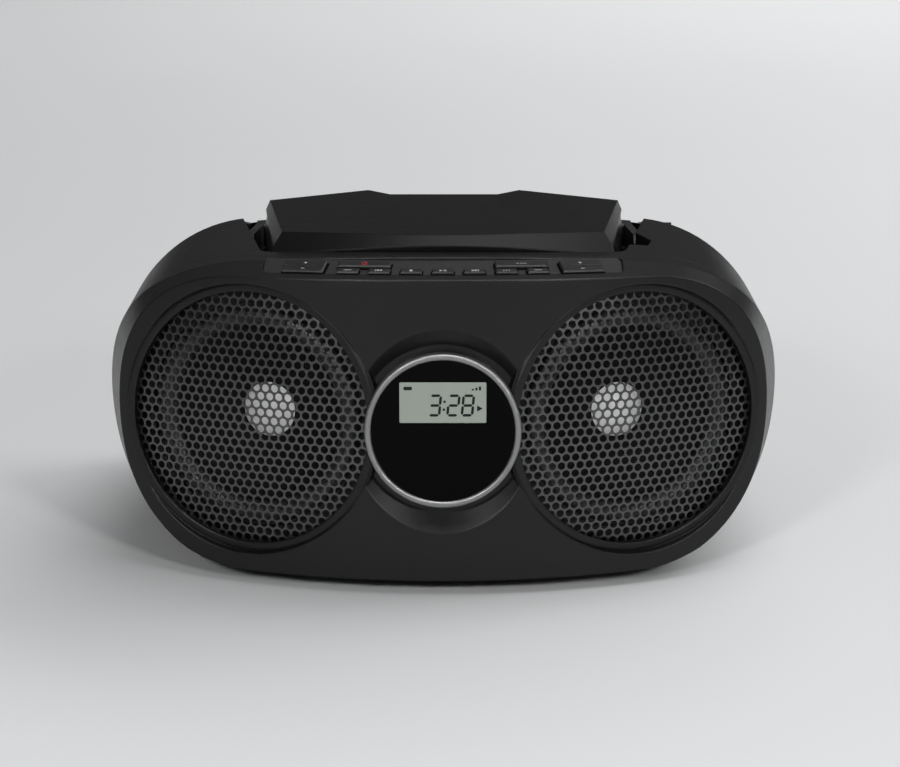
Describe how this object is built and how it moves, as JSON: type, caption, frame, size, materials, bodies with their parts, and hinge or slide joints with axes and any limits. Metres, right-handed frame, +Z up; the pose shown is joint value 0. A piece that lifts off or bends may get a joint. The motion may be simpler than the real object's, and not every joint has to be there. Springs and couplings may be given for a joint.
{
  "type": "portable disc player and radio",
  "caption": "Rounded black portable stereo with round perforated speaker grilles, a silver-ringed display, a top button strip, a lift-up disc lid and a fold-back carry handle.",
  "frame": {"origin": "on the floor under the middle of the bounding box", "axes": "+X to the listener's right, +Y from the front panel towards the back, +Z up"},
  "size_m": [0.302, 0.226, 0.1489],
  "materials": {
    "cabinet_black": "satin black moulded plastic",
    "rear_black": "satin black moulded plastic",
    "lid_black": "satin black moulded plastic",
    "handle_black": "fine-textured black plastic",
    "deck_grey": "matt dark plastic",
    "panel_black": "matt dark plastic",
    "button_black": "satin dark plastic",
    "ring_silver": "satin silver plating",
    "window_black": "gloss black tinted window",
    "lcd": "pale grey-green display",
    "grille_grey": "perforated metal, dark grey paint",
    "basket_steel": "pressed steel, black",
    "cone_paper": "dark pulp paper",
    "surround_foam": "grey rolled surround",
    "dust_cap_silver": "bright dished metal",
    "magnet": "sintered ferrite",
    "rubber": "matt rubber",
    "steel": "bright steel",
    "board_green": "green laminate",
    "heat_sink": "plain aluminium",
    "capacitor": "sleeved electrolytic",
    "copper": "varnished copper winding",
    "chrome_tube": "plated tube",
    "tray_black": "matt dark plastic"
  },
  "bodies": {
    "cabinet": {"front_cabinet": "cabinet_black", "rear_cabinet": "rear_black", "button_panel": "panel_black", "button_board": "board_green", "button_switches": "steel", "display_ring": "ring_silver", "display_window": "window_black", "lcd_panel": "lcd", "speaker_grille_left": "grille_grey", "speaker_basket_left": "basket_steel", "speaker_cone_left": "cone_paper", "speaker_surround_left": "surround_foam", "speaker_dust_cap_left": "dust_cap_silver", "speaker_magnet_left": "magnet", "speaker_grille_right": "grille_grey", "speaker_basket_right": "basket_steel", "speaker_cone_right": "cone_paper", "speaker_surround_right": "surround_foam", "speaker_dust_cap_right": "dust_cap_silver", "speaker_magnet_right": "magnet", "case_screws": "steel", "rubber_feet": "rubber", "battery_tray": "tray_black", "battery_contacts": "steel", "mains_inlet": "tray_black", "mains_pins": "steel", "main_board": "board_green", "heat_sink": "heat_sink", "capacitors": "capacitor", "transformer_core": "basket_steel", "transformer_winding": "copper", "disc_deck": "deck_grey", "mechanism_chassis": "steel", "guide_rods": "steel", "spindle_motor": "steel", "sled_motor": "steel", "aerial_fork": "tray_black"},
    "power_button": {"power_button": "button_black"},
    "source_button": {"source_button": "button_black"},
    "mode_button": {"mode_button": "button_black"},
    "previous_button": {"previous_button": "button_black"},
    "stop_button": {"stop_button": "button_black"},
    "play_button": {"play_button": "button_black"},
    "next_button": {"next_button": "button_black"},
    "program_button": {"program_button": "button_black"},
    "bass_button": {"bass_button": "button_black"},
    "preset_rocker": {"preset_rocker": "button_black"},
    "volume_rocker": {"volume_rocker": "button_black"},
    "battery_door": {"battery_door": "rear_black"},
    "turntable": {"turntable": "deck_grey"},
    "laser_sled": {"laser_sled": "tray_black"},
    "sled_screw": {"sled_screw": "steel"},
    "disc_lid": {"disc_lid": "lid_black", "lid_pins": "steel"},
    "disc_clamp": {"disc_clamp": "deck_grey"},
    "handle": {"handle": "handle_black", "handle_pins": "steel"},
    "aerial_tube": {"aerial_tube": "chrome_tube"},
    "aerial_middle": {"aerial_middle": "chrome_tube"},
    "aerial_tip": {"aerial_tip": "chrome_tube"}
  },
  "joints": [
    {"name": "power_press", "type": "slide", "parent": "cabinet", "child": "power_button", "axis": [0.0576, 0.3382, -0.9393], "range_m": [0, 0.0007], "stiffness_N_per_m": 900, "springref_m": -0.0006},
    {"name": "source_press", "type": "slide", "parent": "cabinet", "child": "source_button", "axis": [-0.0576, 0.3382, -0.9393], "range_m": [0, 0.0007], "stiffness_N_per_m": 900, "springref_m": -0.0006},
    {"name": "mode_press", "type": "slide", "parent": "cabinet", "child": "mode_button", "axis": [0.0698, 0.3379, -0.9386], "range_m": [0, 0.0007], "stiffness_N_per_m": 900, "springref_m": -0.0006},
    {"name": "previous_press", "type": "slide", "parent": "cabinet", "child": "previous_button", "axis": [0.0467, 0.3384, -0.9399], "range_m": [0, 0.0007], "stiffness_N_per_m": 900, "springref_m": -0.0006},
    {"name": "stop_press", "type": "slide", "parent": "cabinet", "child": "stop_button", "axis": [0.0233, 0.3386, -0.9406], "range_m": [0, 0.0007], "stiffness_N_per_m": 900, "springref_m": -0.0006},
    {"name": "play_press", "type": "slide", "parent": "cabinet", "child": "play_button", "axis": [0, 0.3387, -0.9409], "range_m": [0, 0.0007], "stiffness_N_per_m": 900, "springref_m": -0.0006},
    {"name": "next_press", "type": "slide", "parent": "cabinet", "child": "next_button", "axis": [-0.0233, 0.3386, -0.9406], "range_m": [0, 0.0007], "stiffness_N_per_m": 900, "springref_m": -0.0006},
    {"name": "program_press", "type": "slide", "parent": "cabinet", "child": "program_button", "axis": [-0.0467, 0.3384, -0.9399], "range_m": [0, 0.0007], "stiffness_N_per_m": 900, "springref_m": -0.0006},
    {"name": "bass_press", "type": "slide", "parent": "cabinet", "child": "bass_button", "axis": [-0.0698, 0.3379, -0.9386], "range_m": [0, 0.0007], "stiffness_N_per_m": 900, "springref_m": -0.0006},
    {"name": "preset_rock", "type": "hinge", "parent": "cabinet", "child": "preset_rocker", "pos_m": [-0.05829, -0.08906, 0.13545], "axis": [0.9719, -0.2343, 0.0215], "range_deg": [-4, 4], "stiffness_Nm_per_rad": 0.3},
    {"name": "volume_rock", "type": "hinge", "parent": "cabinet", "child": "volume_rocker", "pos_m": [0.05829, -0.08906, 0.13545], "axis": [0.9719, 0.2343, -0.0215], "range_deg": [-4, 4], "stiffness_Nm_per_rad": 0.3},
    {"name": "lid_hinge", "type": "hinge", "parent": "cabinet", "child": "disc_lid", "pos_m": [0, 0.042, 0.1375], "axis": [-1, 0, 0], "range_deg": [0, 75]},
    {"name": "clamp_spin", "type": "hinge", "parent": "disc_lid", "child": "disc_clamp", "pos_m": [0, -0.014, 0.135], "axis": [0, 0, 1], "continuous": true},
    {"name": "handle_swing", "type": "hinge", "parent": "cabinet", "child": "handle", "pos_m": [0, 0.008, 0.128], "axis": [1, 0, 0], "range_deg": [0, 85]},
    {"name": "turntable_spin", "type": "hinge", "parent": "cabinet", "child": "turntable", "pos_m": [0, -0.014, 0.12], "axis": [0, 0, 1], "continuous": true},
    {"name": "sled_slide", "type": "slide", "parent": "cabinet", "child": "laser_sled", "axis": [1, 0, 0], "range_m": [0, 0.028]},
    {"name": "screw_spin", "type": "hinge", "parent": "cabinet", "child": "sled_screw", "pos_m": [0.039, 0.0095, 0.1135], "axis": [1, 0, 0], "continuous": true},
    {"name": "battery_door_hinge", "type": "hinge", "parent": "cabinet", "child": "battery_door", "pos_m": [0, 0.1116, 0.0274], "axis": [-1, 0, 0], "range_deg": [0, 90]},
    {"name": "aerial_tilt", "type": "hinge", "parent": "cabinet", "child": "aerial_tube", "pos_m": [0.111, 0.094, 0.1215], "axis": [0, 1, 0], "range_deg": [0, 90]},
    {"name": "aerial_middle_slide", "type": "slide", "parent": "aerial_tube", "child": "aerial_middle", "axis": [-1, 0, 0], "range_m": [0, 0.13]},
    {"name": "aerial_tip_slide", "type": "slide", "parent": "aerial_middle", "child": "aerial_tip", "axis": [-1, 0, 0], "range_m": [0, 0.13]}
  ],
  "couplings": [
    {"joint": "screw_spin", "follows": "sled_slide", "rad_per_m": 1047.2}
  ]
}
